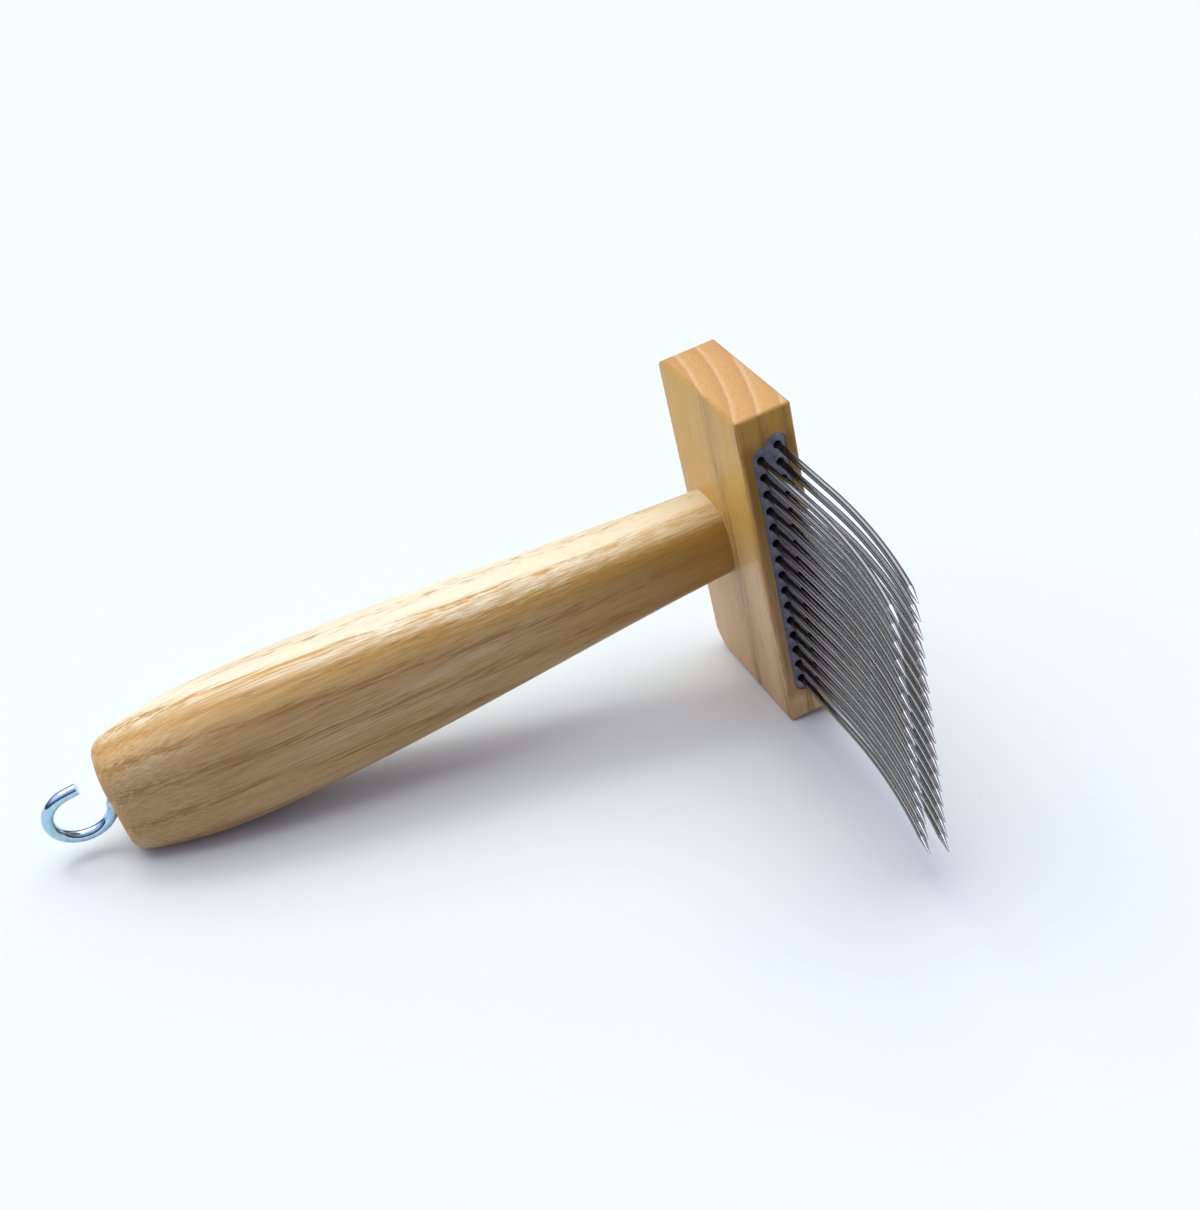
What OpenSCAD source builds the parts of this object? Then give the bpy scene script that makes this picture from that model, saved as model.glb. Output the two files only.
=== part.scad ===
// Hand wool comb: a wooden handle tenoned into a wooden head, two staggered rows of curved steel tines
// bedded in the head's tine face, and an open screw hook in the butt. Millimetres.
//
// The comb is drawn in its own axes and then laid on its side, as it rests on a table. In its own axes the
// handle's axis is X, towards the head, which starts at x = 0. Z runs along the head, from its middle.
// The head's back face is y = 0 and the tines leave the opposite face along -Y.

/* [Head] */
// Length of the head block
head_length = 96; // [92:1:110]
// Thickness of the head block, along the handle
head_thickness = 15.2; // [14.4:0.1:18]
// Depth of the head block, from its back face to its tine face
head_depth = 44.3; // [42:0.1:50]
// Radius of the head's upper back corner
upper_back_radius = 6; // [1.5:0.5:10]
// Radius of the head's lower back corner
lower_back_radius = 9.5; // [1.5:0.5:12]
// Radius of the head's arrises
head_arris = 1.1; // [0.6:0.1:1.5]

/* [Tines] */
// Tines in the row next to the handle; the other row has one more
tines_in_row = 15; // [11:1:15]
// Distance between neighbouring tines of a row
tine_pitch = 5; // [4.6:0.1:5.2]
// Distance between the two rows
row_spacing = 5; // [4.6:0.1:5.4]
// Diameter of the tine wire
tine_wire = 1.7; // [1.4:0.1:2]
// Straight length of a tine above the tine face
tine_straight = 24; // [15:1:40]
// Length of a tine's curved stretch
tine_curve = 43; // [30:1:60]
// Radius of a tine's curve
tine_radius = 176; // [120:1:300]
// Length of a tine's ground point
point_length = 5; // [3:0.5:8]
// Diameter at the very tip of a tine
point_tip = 0.3; // [0.2:0.05:0.6]
// Wood left between the tine holes and the tenon's bore
tine_floor = 3.4; // [2:0.1:5]

/* [Tine bed] */
// Depth of the milled pocket that holds the bedding
pocket_depth = 3; // [2:0.1:4]
// How far the bedding stays below the tine face
bed_recess = 0.6; // [0.2:0.1:1.2]
// Width of the cutter that mills the pocket's two slots
slot_width = 5.6; // [5.3:0.1:6]
// How far each slot's centre line lies inside its row of tines
slot_inset = 0.5; // [0:0.1:0.6]
// How far each slot's end centre lies past the last tine
slot_overrun = 1; // [0.5:0.1:1.5]
// Width of the open ring round each tine, where the bedding has drawn back
root_ring = 0.25; // [0.1:0.05:0.4]
// Depth of that ring
root_ring_depth = 0.8; // [0.3:0.1:1.2]

/* [Handle] */
// Length of the handle, from the head to the butt's end face
handle_length = 168; // [150:1:190]
// Distance from the head's back face to the handle's axis
handle_setback = 15; // [14.1:0.1:17]
// Width of the neck, along the head
neck_width = 22.4; // [20:0.1:26]
// Thickness of the neck, along the tines
neck_thickness = 20.9; // [19:0.1:22]
// Width of the handle at its widest
belly_width = 38.2; // [32:0.1:42]
// Thickness of the handle at its widest
belly_thickness = 28.1; // [25:0.1:32]
// Distance from the head to the widest place
belly_place = 131; // [115:1:140]
// Width of the butt's end
butt_width = 28.6; // [26:0.1:31]
// Thickness of the butt's end
butt_thickness = 18.6; // [18:0.1:24]
// Radius of the butt's arris
butt_arris = 3; // [1:0.1:3.4]
// Radius of the handle's long corners, as a share of half its thickness there
corner_share = 0.78; // [0.4:0.02:0.96]
// Diameter of the round tenon
tenon_diameter = 16; // [12:0.5:17]
// Length of the round tenon
tenon_length = 11.5; // [8:0.5:12]

/* [Screw hook] */
// Diameter of the hook's wire
hook_wire = 3.05; // [2.6:0.05:3.4]
// Radius of the hook's ring, at the middle of the wire
ring_radius = 7.8; // [7:0.1:10]
// Radius of the bend between the shank and the ring
throat_radius = 1.8; // [1.75:0.05:2.5]
// Angle of the ring that is wire
ring_sweep = 254; // [200:1:270]
// Length of the hook's straight end, after the ring
straight_end = 3; // [0.5:0.1:5]
// Turn of the hook about its shank, from level with the head
hook_turn = 7.6; // [0:0.1:45]
// Length of the shank in the handle
shank_length = 24; // [15:1:35]
// How far the bend starts below the butt's end face
throat_depth = 1.3; // [1:0.1:1.8]

/* [Fits] */
// Gap round each tine in its hole and in the bedding
tine_gap = 0.05; // [0.02:0.01:0.08]
// Gap round the tenon in its bore
tenon_gap = 0.1; // [0.05:0.05:0.2]
// Gap between the tenon's end and the bore's floor
tenon_end_gap = 0.5; // [0.2:0.1:1]
// Gap between the bedding and the pocket's wall
bed_gap = 0.05; // [0.02:0.01:0.1]
// Gap round the hook's shank in its pilot hole
shank_gap = 0.05; // [0.02:0.01:0.1]

/* [Hidden] */
curve_sides = 64;
tenon_bore_depth = tenon_length + tenon_end_gap;

// Where two lengths of one wire meet, the second starts a hair inside the first and is a hair thinner there
joint_bite = 0.05;
joint_step = 0.02;

// Where the rows are, and how deep their tines go
row_a = (head_thickness - row_spacing) / 2;
row_b = row_a + row_spacing;
pocket_floor = head_depth - pocket_depth;
tine_root = handle_setback + tenon_diameter / 2 + tine_floor;
row_a_reach = tine_pitch * (tines_in_row - 1) / 2;
row_b_reach = tine_pitch * tines_in_row / 2;
function row_heights(reach) = [for (z = [reach : -tine_pitch : -reach - 0.01]) z];
row_a_heights = row_heights(row_a_reach);
row_b_heights = row_heights(row_b_reach);

// The handle's half sizes at a distance from the head: an even swell to the belly, then a rounding to the butt
neck_flare = 0.75;
butt_power = 2.35;
function swell(t) = neck_flare * t * (1 - t) * (1 - t) + t * t * (3 - 2 * t);
function half_size(d, neck, belly, butt) =
    d < belly_place
    ? (neck + (belly - neck) * swell(d / belly_place)) / 2
    : (belly - (belly - butt) * pow((d - belly_place) / (handle_length - belly_place), butt_power)) / 2;
function arris_cut(d) =
    d < handle_length - butt_arris
    ? 0
    : butt_arris - sqrt(max(0, pow(butt_arris, 2) - pow(d - handle_length + butt_arris, 2)));
function half_width(d) = half_size(d, neck_width, belly_width, butt_width) - arris_cut(d);
function half_thickness(d) = half_size(d, neck_thickness, belly_thickness, butt_thickness) - arris_cut(d);

// Distances from the head of the handle's sections, with the last ones round the butt's arris
long_sections = 32;
arris_sections = 5;
corner_steps = 11;
section_sides = 4 * (corner_steps + 1);
handle_stations = concat(
    [for (i = [0 : long_sections - 1]) (handle_length - butt_arris) * i / long_sections],
    [for (i = [0 : arris_sections]) handle_length - butt_arris * (1 - sin(90 * i / arris_sections))]);
function section_at(d) =
    let (radius = corner_share * half_thickness(d))
    [for (quarter = [0 : 3], i = [0 : corner_steps])
        let (a = 90 * (quarter + i / corner_steps))
        let (side = quarter == 0 || quarter == 3 ? 1 : -1)
        let (rise = quarter < 2 ? 1 : -1)
        [-d,
            side * (half_thickness(d) - radius) + radius * cos(a) - handle_setback,
            rise * (half_width(d) - radius) + radius * sin(a)]];

// How the comb lies: on the handle near its butt and on the lower end of the head
function underside(lean) = min([for (d = handle_stations) -d * sin(lean) - half_width(d) * cos(lean)]);
function head_underside(lean) =
    head_arris * sin(lean) + (head_arris - head_length / 2) * cos(lean) - head_arris;
function find_lean(low, high, steps) =
    let (middle = (low + high) / 2)
    steps == 0 ? middle
    : underside(middle) > head_underside(middle) ? find_lean(middle, high, steps - 1)
    : find_lean(low, middle, steps - 1);
lean = find_lean(0, 30, 24);

// The hook in its own plane: u leaves the butt along the handle's axis and v crosses it
throat_start = -throat_depth;
ring_centre = throat_start + sqrt(pow(ring_radius + throat_radius, 2) - pow(throat_radius, 2));
throat_turn = acos(throat_radius / (ring_radius + throat_radius));
ring_outside = ring_radius + hook_wire / 2;

// The dish in the butt that the ring's near side turns in, wide enough for it to leave the wood freely
dish_margin = 0.3;
dish_depth = throat_depth + 0.15;
dish_radius = sqrt(max(0, pow(ring_outside, 2) - pow(ring_centre, 2))) + dish_margin;

// The point on the table under the middle of the comb, in the comb's own axes after the lean
ring_spread = ring_radius * sqrt(1 - pow(sin(lean) * sin(hook_turn), 2)) + hook_wire / 2;
left_end = (-handle_length - ring_centre) * cos(lean) - ring_spread;
right_end = (head_thickness - head_arris) * cos(lean) + (head_length / 2 - head_arris) * sin(lean) + head_arris;
tine_bend = tine_curve / tine_radius * 180 / PI;
tine_reach = tine_straight + tine_radius * sin(tine_bend) + point_length * cos(tine_bend);
front_end = -head_depth - tine_reach;
back_end = max(0, belly_thickness / 2 - handle_setback);

function tine_name(row, i) = str("tine_", row, i < 9 ? "0" : "", i + 1);

// The comb's own axes laid on the table
module laid() {
    translate([-(left_end + right_end) / 2, -(front_end + back_end) / 2, -head_underside(lean)])
        rotate([0, -lean, 0])
            children();
}

// A place in the tine face: across the head's thickness and up the head, facing along the tines
module at_tine_face(across, up, depth) {
    translate([across, -depth, up])
        rotate([90, 0, 0])
            children();
}

// What a round takes off a square corner at the origin, whose sides run along +X and +Y
module corner_waste(radius) {
    difference() {
        square(radius);
        translate([radius, radius])
            circle(radius, $fn = curve_sides);
    }
}

// A rectangle from the origin with a radius of its own at each corner
module rounded_rectangle(width, height, radii) {
    difference() {
        square([width, height]);
        corner_waste(radii[0]);
        translate([width, 0])
            mirror([1, 0])
                corner_waste(radii[1]);
        translate([width, height])
            mirror([1, 0])
                mirror([0, 1])
                    corner_waste(radii[2]);
        translate([0, height])
            mirror([0, 1])
                corner_waste(radii[3]);
    }
}

// The head as sawn and rounded, before any hole: three rounded outlines, seen along each axis, in common
module head_blank() {
    arrises = [head_arris, head_arris, head_arris, head_arris];
    side_radii = [head_arris, lower_back_radius, upper_back_radius, head_arris];
    intersection() {
        translate([0, -head_depth, -head_length / 2])
            rotate([90, 0, 90])
                linear_extrude(head_thickness)
                    rounded_rectangle(head_depth, head_length, side_radii);
        translate([0, -head_depth, -head_length / 2])
            linear_extrude(head_length)
                rounded_rectangle(head_thickness, head_depth, arrises);
        translate([0, 0, -head_length / 2])
            rotate([90, 0, 0])
                linear_extrude(head_depth)
                    rounded_rectangle(head_thickness, head_length, arrises);
    }
}

// One round-ended slot along a row, standing on z = 0
module slot(across, reach, radius, height) {
    for (end = [-1, 1])
        translate([across, end * (reach + slot_overrun), 0])
            cylinder(r = radius, h = height, $fn = curve_sides);
    translate([across - radius, -reach - slot_overrun, 0])
        cube([2 * radius, 2 * (reach + slot_overrun), height]);
}

// The pocket's outline: two slots side by side, shrunk by a gap for the bedding
module bed_shape(height, gap) {
    slot(row_a + slot_inset, row_a_reach, slot_width / 2 - gap, height);
    slot(row_b - slot_inset, row_b_reach, slot_width / 2 - gap, height);
}

// Holes for all tines, wider than their wire by a gap all round, standing on z = 0
module tine_holes(height, gap) {
    for (z = row_a_heights)
        translate([row_a, z, 0])
            cylinder(d = tine_wire + 2 * gap, h = height, $fn = curve_sides);
    for (z = row_b_heights)
        translate([row_b, z, 0])
            cylinder(d = tine_wire + 2 * gap, h = height, $fn = curve_sides);
}

module head_block() {
    color("burlywood")
        difference() {
            head_blank();
            at_tine_face(0, 0, pocket_floor)
                bed_shape(pocket_depth + 1, 0);
            at_tine_face(0, 0, tine_root)
                tine_holes(pocket_floor - tine_root + 1, tine_gap);
            translate([-1, -handle_setback, 0])
                rotate([0, 90, 0])
                    cylinder(d = tenon_diameter + 2 * tenon_gap, h = tenon_bore_depth + 1, $fn = curve_sides);
        }
}

// The bedding in the pocket, through which the tines pass
module tine_bed() {
    color("slategray")
        difference() {
            at_tine_face(0, 0, pocket_floor)
                bed_shape(pocket_depth - bed_recess, bed_gap);
            at_tine_face(0, 0, pocket_floor - 1)
                tine_holes(pocket_depth + 2, tine_gap);
            at_tine_face(0, 0, head_depth - bed_recess - root_ring_depth)
                tine_holes(root_ring_depth + 1, root_ring);
        }
}

// One tine from its hole's floor to its point: straight, then curved towards the handle
module tine(across, up) {
    straight = head_depth - tine_root + tine_straight;
    color("lightslategray")
        at_tine_face(across, up, tine_root) {
            cylinder(d = tine_wire, h = straight, $fn = curve_sides);
            translate([-tine_radius, 0, straight])
                rotate([90, 0, 0])
                    rotate_extrude(angle = tine_bend, $fn = 256)
                        translate([tine_radius, 0])
                            circle(d = tine_wire, $fn = curve_sides);
            translate([-tine_radius, 0, straight])
                rotate([0, -tine_bend, 0])
                    translate([tine_radius, 0, -joint_bite])
                        cylinder(d1 = tine_wire - joint_step, d2 = point_tip, h = point_length + joint_bite,
                            $fn = curve_sides);
        }
}

// The handle's carved body: one skin over its sections, closed at both ends
module handle_body() {
    rings = len(handle_stations);
    points = [for (d = handle_stations) each section_at(d)];
    skin = [
        for (r = [0 : rings - 2], i = [0 : section_sides - 1])
        let (a = r * section_sides + i, b = r * section_sides + (i + 1) % section_sides)
        each [[a, b, b + section_sides], [a, b + section_sides, a + section_sides]]];
    head_end = [for (i = [section_sides - 1 : -1 : 0]) i];
    butt_end = [for (i = [0 : section_sides - 1]) (rings - 1) * section_sides + i];
    polyhedron(points = points, faces = concat(skin, [head_end, butt_end]), convexity = 4);
}

module handle() {
    color("wheat")
        difference() {
            union() {
                handle_body();
                translate([-1, -handle_setback, 0])
                    rotate([0, 90, 0])
                        cylinder(d = tenon_diameter, h = tenon_length + 1, $fn = curve_sides);
            }
            hook_axes() {
                shank(hook_wire / 2 + shank_gap);
                dish();
            }
        }
}

// The hook's plane: X leaves the butt along the handle's axis and Y crosses it
module hook_axes() {
    translate([-handle_length, -handle_setback, 0])
        rotate([hook_turn, 0, 0])
            rotate([0, 0, 180])
                rotate([90, 0, 0])
                    children();
}

// A straight length along X with a drilling point at its start: the hook's shank, or the hole for it
module shank(radius, extra = 0) {
    translate([throat_start - shank_length, 0, 0])
        rotate([0, 90, 0]) {
            cylinder(r1 = 0, r2 = radius, h = radius, $fn = curve_sides);
            translate([0, 0, radius])
                cylinder(r = radius, h = shank_length - radius + extra, $fn = curve_sides);
        }
}

// The shallow cone cut in the butt's end round the hook
module dish() {
    hole_radius = hook_wire / 2 + shank_gap;
    slope = (dish_radius - hole_radius) / dish_depth;
    translate([-dish_depth, 0, 0])
        rotate([0, 90, 0])
            cylinder(r1 = hole_radius, r2 = dish_radius + slope, h = dish_depth + 1, $fn = curve_sides);
}

// An arc of the hook's wire that starts at the origin along Y, round a centre on X
module wire_arc(centre, sweep) {
    translate([centre, 0, 0])
        rotate([0, 0, centre > 0 ? 180 : 0])
            rotate_extrude(angle = sweep, $fn = 128)
                translate([abs(centre), 0])
                    circle(d = hook_wire, $fn = curve_sides);
}

// The throat and the ring leave the point where they meet in opposite directions, and the end follows the ring
module screw_hook() {
    color("silver")
        hook_axes() {
            shank((hook_wire - joint_step) / 2, joint_bite);
            translate([throat_start, -throat_radius, 0])
                rotate([0, 0, 90 - throat_turn])
                    translate([throat_radius, 0, 0]) {
                        wire_arc(-throat_radius, throat_turn);
                        wire_arc(ring_radius, ring_sweep);
                        translate([ring_radius, 0, 0])
                            rotate([0, 0, ring_sweep])
                                translate([-ring_radius, joint_bite, 0])
                                    rotate([90, 0, 0])
                                        cylinder(d = hook_wire - joint_step, h = straight_end + joint_bite,
                                            $fn = curve_sides);
                    }
        }
}

laid() head_block();
laid() handle();
laid() tine_bed();
laid() screw_hook();
for (i = [0 : tines_in_row - 1])
    laid() tine(row_a, row_a_heights[i]);
for (i = [0 : tines_in_row])
    laid() tine(row_b, row_b_heights[i]);
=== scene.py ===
import math
from collections import namedtuple

import bpy
from mathutils import Euler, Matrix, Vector

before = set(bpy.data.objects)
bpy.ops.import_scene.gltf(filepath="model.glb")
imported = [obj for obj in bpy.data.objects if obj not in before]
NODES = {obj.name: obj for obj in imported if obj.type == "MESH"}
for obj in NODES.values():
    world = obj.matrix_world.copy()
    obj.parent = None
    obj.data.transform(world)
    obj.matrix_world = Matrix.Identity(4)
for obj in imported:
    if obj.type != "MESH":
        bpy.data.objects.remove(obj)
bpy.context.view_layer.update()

MM = 0.001

# Where the comb's own axes lie in the row's frame: the comb rests on the butt and the head's lower end,
# so its handle leans up towards the head. HEAD_FACE is on the handle's side of the head, at its back.
LEAN = math.radians(11.1064)
HEAD_FACE = Vector((79.0916, 57.8625, 46.9097)) * MM

# How far the bed's face lies in front of the head's back, and how far the tines stand out of it
BED_FACE = 43.7
TINE_LENGTH = 72.0
POINT_LENGTH = 5.0

# Base colours of the wood
CREAM = (0.96, 0.925, 0.59)
HONEY = (0.70, 0.475, 0.175)
AMBER = (0.68, 0.38, 0.06)
HEAD_HONEY = (0.88, 0.59, 0.24)
HEAD_AMBER = (0.86, 0.49, 0.02)
ORANGE_STREAK = (0.70, 0.385, 0.08)
BROWN_STREAK = (0.48, 0.275, 0.08)
WARM_GRAIN = (0.60, 0.345, 0.06)
PORE = (0.30, 0.14, 0.04)
END_GRAIN = (0.72, 0.415, 0.12)
END_DARK = (0.56, 0.29, 0.075)
END_LINE = (0.84, 0.58, 0.27)

# What painted shade multiplies the wood's colour by: on faces turned to the tines' side near the head, and
# beside the bed under the tines
PAINTED_FRONT_SHADE = (0.74, 0.69, 0.66)
PAINTED_BED_SHADE = (0.68, 0.63, 0.63)

# Base colours of the metal, the bed and the table
SLATE = (0.20, 0.21, 0.225)
SLATE_PALE = (0.30, 0.315, 0.3375)
STEEL = (0.26, 0.27, 0.23)
# Painted shadow at the tines' roots, and painted shade and painted reflection of the dark bed on the wire
# just above them
PAINTED_ROOT_SHADE_AND_REFLECTION = (0.13, 0.125, 0.12)
PAINTED_ROOT_SHADOW = (0.02, 0.02, 0.025)
GROUND_STEEL = (0.46, 0.475, 0.43)
ZINC = (0.38, 0.60, 0.74)
ZINC_PALE = (0.50, 0.68, 0.78)
TABLE = (0.836, 0.912, 0.814)
TABLE_BOUNCE = (0.50, 0.53, 0.56)

# Light
LAMP_COLOUR = (0.98, 1.0, 0.95)
ROOM_COLOUR = (1.12, 1.05, 1.68)
BACKDROP = (0.95, 0.985, 1.0)

# The camera's place in millimetres, its turn in degrees and its lens
CAMERA_PLACE = (-87.69, -289.525, 269.43)
CAMERA_TURN = (56.545, 2.11, -23.248)
CAMERA_LENS = 48.2227
SENSOR_WIDTH = 36.0

# The wood's rings, and the stretch of the handle over which its pith line is a polynomial, in millimetres
RING_GAP = 5.9
PITH_MIDDLE = -85.0
PITH_HALF_SPAN = 80.0
SLOW_REACH = 2.2
QUICK_REACH = 0.55

# Noises drawn out along the grain: their scales across and along it per millimetre, and where they start
Streaks = namedtuple("Streaks", "across along detail roughness shift")
SLOW_WANDER = Streaks(0.03, 0.012, 1.0, 0.5, 0.0)
QUICK_WANDER = Streaks(0.25, 0.03, 2.0, 0.5, 7.0)
FIBRE = Streaks(1.5, 0.035, 5.0, 0.62, 0.0)
FINE_LINES = Streaks(2.6, 0.10, 3.0, 0.6, 3.0)
BROAD_PATCHES = Streaks(0.09, 0.012, 2.0, 0.5, 9.0)
PORE_DASHES = Streaks(2.6, 0.12, 2.0, 0.5, 5.0)

# One piece of ash. Lengths are in millimetres.
# grain_axis is the comb's axis that the grain runs along.
# shades are the pale, the usual and the deep shade.
# pith is the pith line's place across the grain, as two polynomials of the place along it.
# first_ring is the radius of one ring's line, and the others are RING_GAP apart.
# pale_span is the radius where the pale shade ends and the one where the usual shade is full. Both shrink by
# pale_drift from the middle of the handle to its butt, and grow as much to its other end.
# deep_span is the stretch of the grain axis over which the deep shade comes in.
# fibres is the strength of the fine lines, and the reach after it how far up and down the painted shade
# beside the bed goes.
# seed is where the noises start along the grain.
Timber = namedtuple("Timber", "name grain_axis shades pith first_ring pale_span pale_drift deep_span "
                              "fibres glaze_reach seed")
HANDLE_TIMBER = Timber(
    name="handle_wood",
    grain_axis=0,
    shades=(CREAM, HONEY, AMBER),
    pith=((10.0, -7.7, 3.7), (37.8, 2.7, -3.0, -1.5, 1.1)),
    first_ring=47.9,
    pale_span=(38.0, 43.0),
    pale_drift=1.5,
    deep_span=(-70.0, 0.0),
    fibres=0.75,
    glaze_reach=None,
    seed=3.7,
)
HEAD_TIMBER = Timber(
    name="head_wood",
    grain_axis=2,
    shades=(CREAM, HEAD_HONEY, HEAD_AMBER),
    pith=((-87.8,), (-0.5,)),
    first_ring=91.6,
    pale_span=(68.0, 80.0),
    pale_drift=0.0,
    deep_span=(-14.0, 26.0),
    fibres=0.35,
    glaze_reach=38.0,
    seed=11.3,
)

# What the wood's colour is mixed from at one point
Figure = namedtuple("Figure", "ring from_line early halo fibre pores depth honey deep")


class Tree:
    """A node tree that is written as nested calls, each of which gives back a socket."""

    def __init__(self, tree):
        self.tree = tree
        self.nodes = tree.nodes
        self.nodes.clear()

    def node(self, kind, inputs=(), **settings):
        n = self.nodes.new(kind)
        for key, value in settings.items():
            setattr(n, key, value)
        for key, value in dict(inputs).items():
            if isinstance(value, bpy.types.NodeSocket):
                self.tree.links.new(value, n.inputs[key])
            else:
                n.inputs[key].default_value = value
        return n

    def math(self, operation, a, b=0.0, c=0.0, clamp=False):
        n = self.node("ShaderNodeMath", {0: a, 1: b, 2: c}, operation=operation, use_clamp=clamp)
        return n.outputs[0]

    def times(self, a, *factors):
        for factor in factors:
            a = self.math("MULTIPLY", a, factor)
        return a

    def times_add(self, a, factor, addend, clamp=False):
        return self.math("MULTIPLY_ADD", a, factor, addend, clamp)

    def vector(self, operation, a, b=(0, 0, 0)):
        n = self.node("ShaderNodeVectorMath", {0: a, 1: b}, operation=operation)
        return n.outputs["Value"] if operation in ("LENGTH", "DOT_PRODUCT") else n.outputs[0]

    def scaled(self, a, factor):
        return self.node("ShaderNodeVectorMath", {0: a, 3: factor}, operation="SCALE").outputs[0]

    def noise(self, place, scale, detail=2.0, roughness=0.5, colour=False):
        inputs = {"Vector": place, "Scale": scale, "Detail": detail, "Roughness": roughness}
        n = self.node("ShaderNodeTexNoise", inputs)
        return n.outputs["Color" if colour else "Fac"]

    def span(self, value, low, high, to_low=0.0, to_high=1.0, smooth=True):
        """Goes from to_low to to_high while the value goes from low to high, and stays level past both."""
        n = self.node("ShaderNodeMapRange", {0: value, 1: low, 2: high, 3: to_low, 4: to_high},
                      interpolation_type="SMOOTHSTEP" if smooth else "LINEAR")
        return n.outputs[0]

    def band(self, value, rise, full, fade, gone):
        """One from full to fade, and nothing before rise and after gone."""
        return self.times(self.span(value, rise, full), self.span(value, fade, gone, 1.0, 0.0))

    def mix(self, amount, a, b, blend="MIX"):
        n = self.node("ShaderNodeMix", {0: amount, 6: a, 7: b}, data_type="RGBA", blend_type=blend)
        return n.outputs[2]

    def mix_values(self, amount, a, b):
        return self.node("ShaderNodeMix", {0: amount, 2: a, 3: b}, data_type="FLOAT").outputs[0]

    def split(self, vector):
        n = self.node("ShaderNodeSeparateXYZ", {0: vector})
        return n.outputs[0], n.outputs[1], n.outputs[2]

    def join(self, x, y, z):
        return self.node("ShaderNodeCombineXYZ", {0: x, 1: y, 2: z}).outputs[0]

    def bump(self, height, strength, distance):
        inputs = {"Strength": strength, "Distance": distance, "Height": height}
        return self.node("ShaderNodeBump", inputs).outputs[0]

    def comb_place(self):
        """The point in the comb's own axes, in millimetres: x towards the head, y back from the tines and
        z up the head."""
        here = self.node("ShaderNodeTexCoord").outputs["Object"]
        inputs = {"Vector": here, "Location": HEAD_FACE, "Rotation": (0, -LEAN, 0), "Scale": (MM, MM, MM)}
        return self.node("ShaderNodeMapping", inputs, vector_type="TEXTURE").outputs[0]

    def surface(self, kind, inputs):
        """Ends a material's tree with one shader."""
        self.node("ShaderNodeOutputMaterial", {"Surface": self.node(kind, inputs).outputs[0]})


def rgba(colour):
    return (*colour, 1.0)


def material(name):
    m = bpy.data.materials.new(name)
    m.use_nodes = True
    return m, Tree(m.node_tree)


class Grain:
    """A timber's axes in its material: along the grain, and a and b across it, in millimetres."""

    def __init__(self, t, timber):
        self.t = t
        self.timber = timber
        self.place = t.comb_place()
        xyz = t.split(self.place)
        first, second = [axis for axis in range(3) if axis != timber.grain_axis]
        self.along = xyz[timber.grain_axis]
        self.a = xyz[first]
        self.b = xyz[second]
        self.part_way = t.times_add(self.along, 1 / PITH_HALF_SPAN, -PITH_MIDDLE / PITH_HALF_SPAN)

    def noise(self, streaks, colour=False):
        t = self.t
        start = self.timber.seed + streaks.shift
        place = t.join(t.times(self.a, streaks.across), t.times(self.b, streaks.across),
                       t.times_add(self.along, streaks.along, start))
        return t.noise(place, 1.0, streaks.detail, streaks.roughness, colour)

    def polynomial(self, terms):
        line = terms[-1]
        for term in reversed(terms[:-1]):
            line = self.t.times_add(line, self.part_way, term)
        return line

    def direction(self):
        """The grain's direction in the row's frame."""
        level = (math.cos(LEAN), 0, math.sin(LEAN))
        upright = (-math.sin(LEAN), 0, math.cos(LEAN))
        return level if self.timber.grain_axis == 0 else upright


def ring_radius(t, grain):
    """The distance from the pith line, which wanders a little along the grain."""
    middle = (0.5, 0.5, 0.5)
    slow = t.vector("SUBTRACT", grain.noise(SLOW_WANDER, colour=True), middle)
    quick = t.vector("SUBTRACT", grain.noise(QUICK_WANDER, colour=True), middle)
    wander_a, wander_b, _ = t.split(t.vector("ADD", t.scaled(slow, SLOW_REACH), t.scaled(quick, QUICK_REACH)))
    pith_a, pith_b = (grain.polynomial(terms) for terms in grain.timber.pith)
    from_a = t.math("ADD", t.math("SUBTRACT", grain.a, pith_a), wander_a)
    from_b = t.math("ADD", t.math("SUBTRACT", grain.b, pith_b), wander_b)
    return t.vector("LENGTH", t.join(from_a, from_b, 0.0))


def wood_figure(t, grain):
    """The rings, fibres and pores of one point, and how far the usual and the deep shade have come in."""
    timber = grain.timber
    radius = ring_radius(t, grain)
    ring = t.math("DIVIDE", t.math("SUBTRACT", radius, timber.first_ring), RING_GAP)
    from_line = t.math("SUBTRACT", t.math("FRACT", t.math("ADD", ring, 0.5)), 0.5)
    halo = t.band(from_line, -0.30, 0.0, 0.0, 0.48)
    depth = t.times_add(grain.part_way, -timber.pale_drift, radius)
    patches = t.span(grain.noise(BROAD_PATCHES), 0.35, 0.65, -0.22, 0.22)
    return Figure(
        ring=ring,
        from_line=from_line,
        early=t.band(from_line, -0.10, 0.0, 0.0, 0.30),
        halo=halo,
        fibre=grain.noise(FIBRE),
        pores=t.times(t.span(grain.noise(PORE_DASHES), 0.58, 0.66), t.times_add(halo, 0.8, 0.12)),
        depth=depth,
        honey=t.math("ADD", t.span(depth, *timber.pale_span), patches, clamp=True),
        deep=t.span(grain.along, *timber.deep_span),
    )


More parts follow.
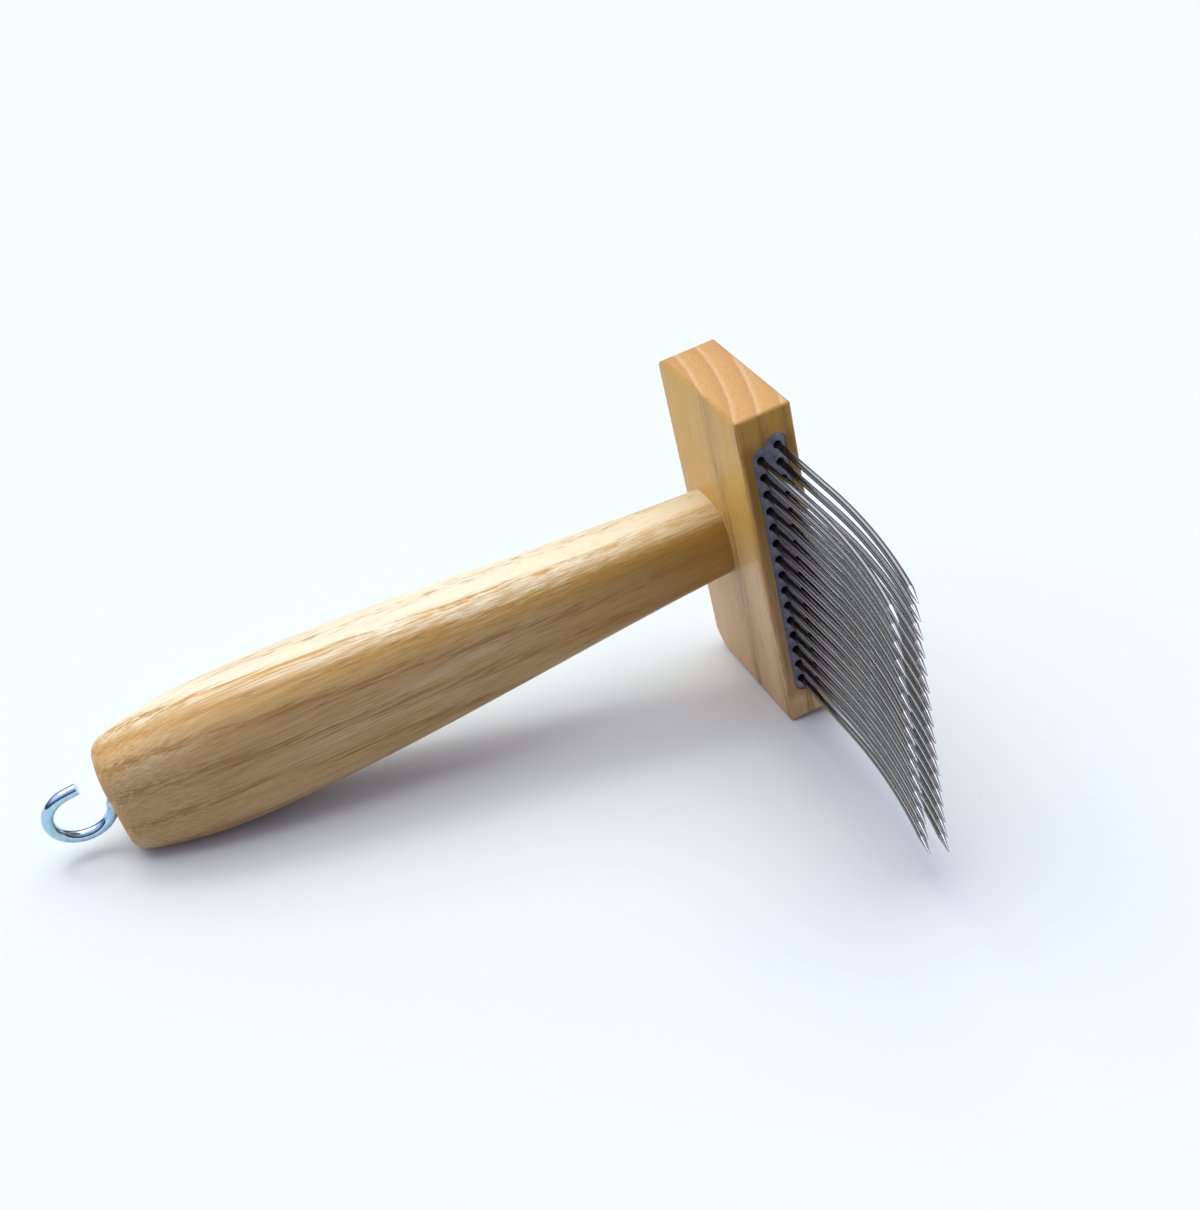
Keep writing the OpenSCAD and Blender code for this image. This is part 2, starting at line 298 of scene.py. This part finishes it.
def streak_share(t, grain, figure):
    """How strong the streaks are. The early wood is dark at the ring's line, sharp on the inside and fading
    outwards, and broken into lengthwise dashes. Fine lines lie between, fewer in the pale wood."""
    pale_end = grain.timber.pale_span[0]
    streaky = t.span(figure.depth, pale_end - 4.0, pale_end - 0.5, 0.25, 1.0)
    dashes = t.times(figure.early, t.span(figure.fibre, 0.36, 0.58, 0.1, 1.0))
    blur = t.times(figure.halo, t.span(figure.fibre, 0.35, 0.65))
    rings = t.times_add(blur, 0.50, t.times(dashes, 0.70))
    rings = t.times(rings, streaky, t.times_add(figure.honey, -0.25, 1.0))
    coarse = t.span(figure.fibre, 0.44, 0.60, 0.0, 0.36)
    fine = t.span(grain.noise(FINE_LINES), 0.47, 0.59, 0.0, 0.55)
    return t.times_add(t.math("ADD", coarse, fine), t.times(streaky, grain.timber.fibres), rings, clamp=True)


def face_colour(t, grain, figure, normal):
    """The wood's colour where it is cut along the grain."""
    pale, usual, deep_shade = (rgba(shade) for shade in grain.timber.shades)
    plain = t.mix(figure.honey, pale, usual)
    plain = t.mix(t.times(figure.deep, t.times_add(figure.honey, 0.6, 0.25)), plain, deep_shade)
    streak = t.mix(figure.honey, rgba(ORANGE_STREAK), rgba(BROWN_STREAK))
    streak = t.mix(figure.deep, streak, rgba(WARM_GRAIN))
    face = t.mix(streak_share(t, grain, figure), plain, streak)

    # A band of warm fibres lies where the pale shade ends
    pale_end, usual_full = grain.timber.pale_span
    warm = t.band(figure.depth, pale_end - 1.5, pale_end + 1.5, usual_full + 1.0, usual_full + 5.0)
    face = t.mix(t.times(warm, t.span(figure.fibre, 0.40, 0.58, 0.10, 0.62)), face, rgba(WARM_GRAIN))
    face = t.mix(t.times(figure.pores, 0.7), face, rgba(PORE))

    # Painted shade darkens what faces the tines' side, where the deep shade comes in, and beside the bed
    # under the tines
    forward = t.span(t.vector("DOT_PRODUCT", normal, (0, -1, 0)), 0.5, 0.95)
    # Painted shade on faces turned to the tines' side near the head
    face = t.mix(t.times(figure.deep, forward), face, rgba(PAINTED_FRONT_SHADE), "MULTIPLY")
    reach = grain.timber.glaze_reach
    if reach is not None:
        # Painted shade beside the bed, under the tines, on faces turned to the tines' side
        beside_bed = t.span(t.math("ABSOLUTE", grain.along), reach, reach + 4.0, 1.0, 0.0)
        face = t.mix(t.times(beside_bed, forward), face, rgba(PAINTED_BED_SHADE), "MULTIPLY")
    return face


def end_colour(t, grain, figure):
    """Cut across, the wood drinks the finish and darkens, and the rings' early wood is a thin pale line."""
    speck = t.noise(grain.place, 1.4, 4.0, 0.75)
    late = t.span(t.math("FRACT", figure.ring), 0.25, 0.95, 0.0, 0.6)
    end = t.mix(late, rgba(END_GRAIN), rgba(END_DARK))
    end = t.mix(t.span(speck, 0.42, 0.68, 0.0, 0.6), end, rgba(END_DARK))
    line = t.times(t.band(figure.from_line, -0.09, 0.0, 0.02, 0.24), t.span(speck, 0.3, 0.6, 0.75, 0.45))
    return t.mix(line, end, rgba(END_LINE))


def wood(timber):
    """Ash under a satin varnish."""
    m, t = material(timber.name)
    grain = Grain(t, timber)
    figure = wood_figure(t, grain)
    normal = t.node("ShaderNodeNewGeometry").outputs["Normal"]
    along_grain = t.math("ABSOLUTE", t.vector("DOT_PRODUCT", normal, grain.direction()))
    cut = t.span(along_grain, 0.45, 0.85)
    height = t.times_add(figure.pores, -0.8, t.times(figure.fibre, 0.5))
    t.surface("ShaderNodeBsdfPrincipled", {
        "Base Color": t.mix(cut, face_colour(t, grain, figure, normal), end_colour(t, grain, figure)),
        "Roughness": t.span(figure.fibre, 0.3, 0.7, 0.42, 0.55),
        "Normal": t.bump(height, 0.25, 0.12 * MM),
        "Specular IOR Level": 0.2,
        "Coat Weight": 0.22,
        "Coat Roughness": 0.2,
        "Coat Normal": t.bump(height, 0.10, 0.10 * MM),
    })
    return m


def steel():
    """Tine wire: painted shadow black at the root, painted shade and painted reflection of the dark bed near
    it, and ground bright at the point.
    """
    m, t = material("tine_steel")
    place = t.comb_place()
    _, y, _ = t.split(place)
    out = t.times_add(y, -1.0, -BED_FACE)
    # Painted shadow black at the root, then painted shade and painted reflection of the bed fading into the
    # steel by 24 mm out
    shaft = t.mix(t.span(out, 1.0, 2.4), rgba(PAINTED_ROOT_SHADOW), rgba(PAINTED_ROOT_SHADE_AND_REFLECTION))
    shaft = t.mix(t.span(out, 3.0, 24.0), shaft, rgba(STEEL))
    point_start = TINE_LENGTH - POINT_LENGTH
    point = t.span(out, point_start - 0.4, point_start + 0.1)
    drawn_lines = t.noise(t.vector("MULTIPLY", place, (4.0, 0.15, 4.0)), 1.0, 3.0)
    shaft_rough = t.span(drawn_lines, 0.3, 0.7, 0.12, 0.22)
    point_rough = t.span(point, 0.0, 1.0, 1.0, 0.14)
    t.surface("ShaderNodeBsdfPrincipled", {
        "Base Color": t.mix(point, shaft, rgba(GROUND_STEEL)),
        "Metallic": 1.0,
        "Roughness": t.math("MINIMUM", shaft_rough, point_rough),
    })
    return m


def slate():
    """The bed's filler."""
    m, t = material("bedding")
    speck = t.noise(t.comb_place(), 0.9, 4.0, 0.6)
    t.surface("ShaderNodeBsdfPrincipled", {
        "Base Color": t.mix(t.span(speck, 0.35, 0.65), rgba(SLATE), rgba(SLATE_PALE)),
        "Roughness": 0.38,
        "Normal": t.bump(speck, 0.25, 0.4 * MM),
    })
    return m


def zinc():
    """The hook's bright plating."""
    m, t = material("hook_zinc")
    speck = t.noise(t.comb_place(), 0.8, 3.0)
    t.surface("ShaderNodeBsdfPrincipled", {
        "Base Color": t.mix(t.span(speck, 0.4, 0.7), rgba(ZINC), rgba(ZINC_PALE)),
        "Metallic": 1.0,
        "Roughness": t.span(speck, 0.3, 0.7, 0.06, 0.12),
    })
    return m


def dress(node, m):
    materials = NODES[node].data.materials
    materials.clear()
    materials.append(m)


def smooth_over(node, limit=38):
    """Shades a node smoothly over its small facets, and leaves its edges sharp above the limit in degrees."""
    tree = bpy.data.node_groups.new("smooth_over", "GeometryNodeTree")
    tree.interface.new_socket("Geometry", in_out="INPUT", socket_type="NodeSocketGeometry")
    tree.interface.new_socket("Geometry", in_out="OUTPUT", socket_type="NodeSocketGeometry")
    t = Tree(tree)

    def step(kind, shape, inputs, **settings):
        return t.node(kind, {"Geometry": shape, **inputs}, **settings).outputs[0]

    angle = t.node("GeometryNodeInputMeshEdgeAngle").outputs["Unsigned Angle"]
    soft = t.node("FunctionNodeCompare", {"A": angle, "B": math.radians(limit)}, data_type="FLOAT",
                  operation="LESS_THAN").outputs[0]
    shape = t.node("NodeGroupInput").outputs[0]
    shape = step("GeometryNodeRemoveAttribute", shape, {"Name": "custom_normal"})
    shape = step("GeometryNodeMergeByDistance", shape, {"Distance": 0.002 * MM})
    shape = step("GeometryNodeSetShadeSmooth", shape, {"Shade Smooth": True}, domain="FACE")
    shape = step("GeometryNodeSetShadeSmooth", shape, {"Shade Smooth": soft}, domain="EDGE")
    t.node("NodeGroupOutput", {0: shape})
    NODES[node].modifiers.new("smooth_over", "NODES").node_group = tree


def stage_floor():
    """A table that the camera and mirroring surfaces see pale, and that throws less light on the comb."""
    m, t = material("table")
    path = t.node("ShaderNodeLightPath")
    mirrored = t.math("MAXIMUM", path.outputs["Is Glossy Ray"], path.outputs["Is Transmission Ray"])
    seen = t.math("MAXIMUM", path.outputs["Is Camera Ray"], mirrored)
    t.surface("ShaderNodeBsdfDiffuse", {"Color": t.mix(seen, rgba(TABLE_BOUNCE), rgba(TABLE))})
    bpy.ops.mesh.primitive_plane_add(size=8.0, location=(0, 0, 0))
    floor = bpy.context.object
    floor.name = "table"
    floor.data.materials.append(m)


def light_world():
    """A soft room, brighter overhead, at the back and on the butt's side, and a white backdrop for the
    camera. What the pieces mirror is dimmer low down and brighter overhead than what lights them."""
    world = bpy.data.worlds.new("studio")
    world.use_nodes = True
    bpy.context.scene.world = world
    t = Tree(world.node_tree)
    path = t.node("ShaderNodeLightPath")
    x, y, z = t.split(t.node("ShaderNodeTexCoord").outputs["Generated"])
    height = t.span(z, 0.0, 1.0, 0.22, 0.55, smooth=False)
    sides = t.times(t.span(y, -0.9, 0.5, 0.5, 1.0), t.span(x, -1.0, 0.1, 1.8, 1.0))
    room = t.times(height, sides)
    mirrored = t.times(room, t.span(z, 0.1, 0.7, 0.15, 1.8))
    strength = t.mix_values(path.outputs["Is Glossy Ray"], room, mirrored)
    soft = t.node("ShaderNodeBackground", {"Color": rgba(ROOM_COLOUR), "Strength": strength})
    plain = t.node("ShaderNodeBackground", {"Color": rgba(BACKDROP), "Strength": 1.0})
    mixed = t.node("ShaderNodeMixShader", {0: path.outputs["Is Camera Ray"], 1: soft.outputs[0],
                                           2: plain.outputs[0]})
    t.node("ShaderNodeOutputWorld", {"Surface": mixed.outputs[0]})


def sun(name, azimuth, elevation, energy, angle):
    """A lamp as seen from the part: azimuth from +Y towards +X, elevation above the table, in degrees."""
    lamp = bpy.data.lights.new(name, "SUN")
    lamp.energy = energy
    lamp.angle = math.radians(angle)
    lamp.color = LAMP_COLOUR
    obj = bpy.data.objects.new(name, lamp)
    obj.rotation_euler = Euler((math.radians(90 - elevation), 0, math.radians(180 - azimuth)), "XYZ")
    bpy.context.scene.collection.objects.link(obj)


def photograph_camera():
    cam = bpy.data.cameras.new("camera")
    cam.sensor_fit = "AUTO"
    cam.sensor_width = SENSOR_WIDTH
    cam.lens = CAMERA_LENS
    cam.clip_start = 0.01
    cam.clip_end = 50.0
    obj = bpy.data.objects.new("camera", cam)
    obj.location = Vector(CAMERA_PLACE) * MM
    obj.rotation_euler = Euler([math.radians(turn) for turn in CAMERA_TURN], "XYZ")
    bpy.context.scene.collection.objects.link(obj)
    bpy.context.scene.camera = obj


dress("handle", wood(HANDLE_TIMBER))
dress("head_block", wood(HEAD_TIMBER))
smooth_over("handle")
dress("tine_bed", slate())
dress("screw_hook", zinc())
tine_steel = steel()
for name in NODES:
    if name.startswith("tine_") and name != "tine_bed":
        dress(name, tine_steel)

stage_floor()
light_world()
sun("overhead", azimuth=-15, elevation=72, energy=1.77, angle=70)
sun("window", azimuth=-20, elevation=66, energy=0.35, angle=14)
photograph_camera()
bpy.context.scene.view_settings.view_transform = "Standard"
